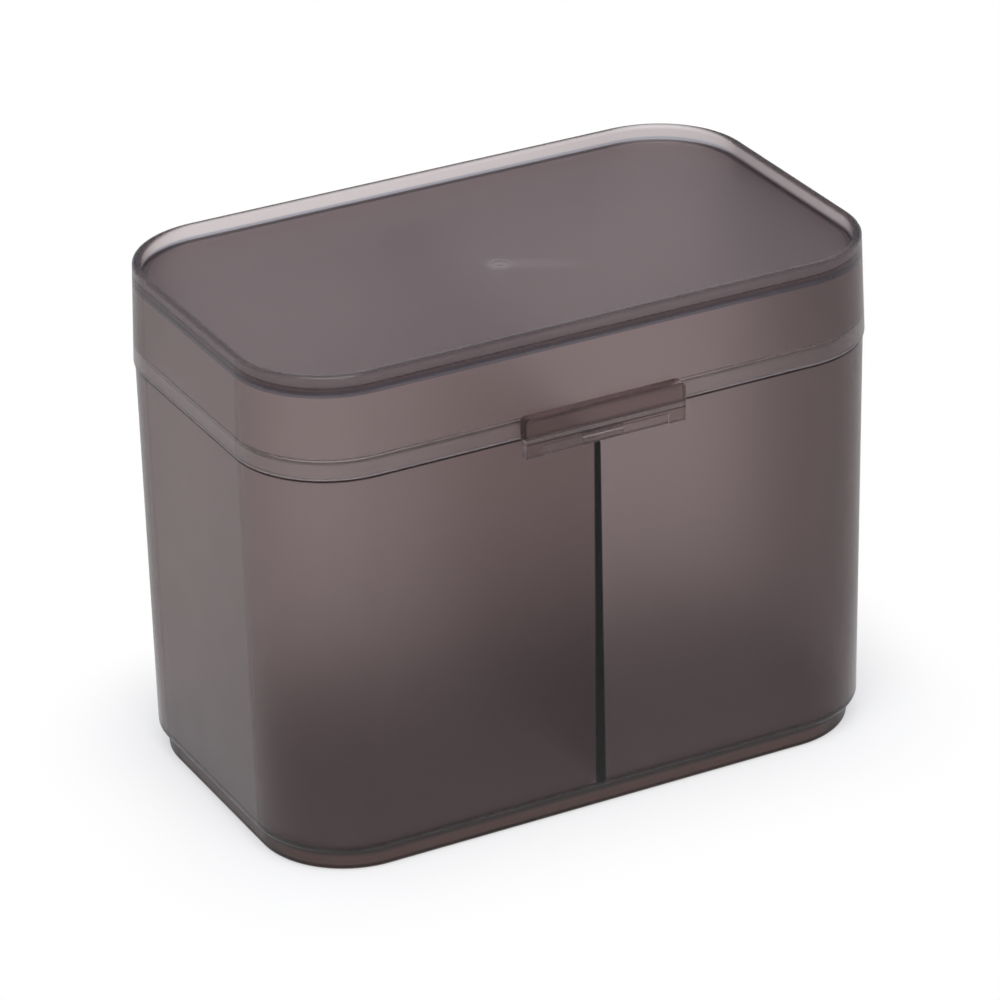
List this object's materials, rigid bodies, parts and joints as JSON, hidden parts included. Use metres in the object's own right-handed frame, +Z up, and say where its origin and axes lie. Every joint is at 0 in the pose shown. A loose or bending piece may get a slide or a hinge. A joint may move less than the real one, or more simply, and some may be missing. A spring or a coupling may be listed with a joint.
{
  "type": "flip-lid organizer box",
  "caption": "Translucent flip-lid box with a divided tub, hinged lid with front latch tab, recessed stacking top and inset foot, for cotton swabs and pads.",
  "frame": {"origin": "middle of the foot ring's underside, on the surface the box stands on", "axes": "+Z up; +X along the long side, to the right as seen from the latch; the latch faces -Y and the hinge is on +Y"},
  "size_m": [0.1416, 0.0929, 0.1117],
  "materials": {
    "smoky_polypropylene": "moulded, frosted, smoky grey-brown, translucent",
    "smoky_polypropylene_lid": "moulded, frosted, smoky grey-brown, translucent",
    "steel_pin": "drawn steel wire"
  },
  "bodies": {
    "base": {"tub": "smoky_polypropylene", "divider": "smoky_polypropylene", "hinge_pin": "steel_pin"},
    "lid": {"lid": "smoky_polypropylene_lid"}
  },
  "joints": [
    {"name": "lid_hinge", "type": "hinge", "parent": "base", "child": "lid", "pos_m": [0, 0.0447, 0.08715], "axis": [-1, 0, 0], "range_deg": [0, 105]}
  ]
}
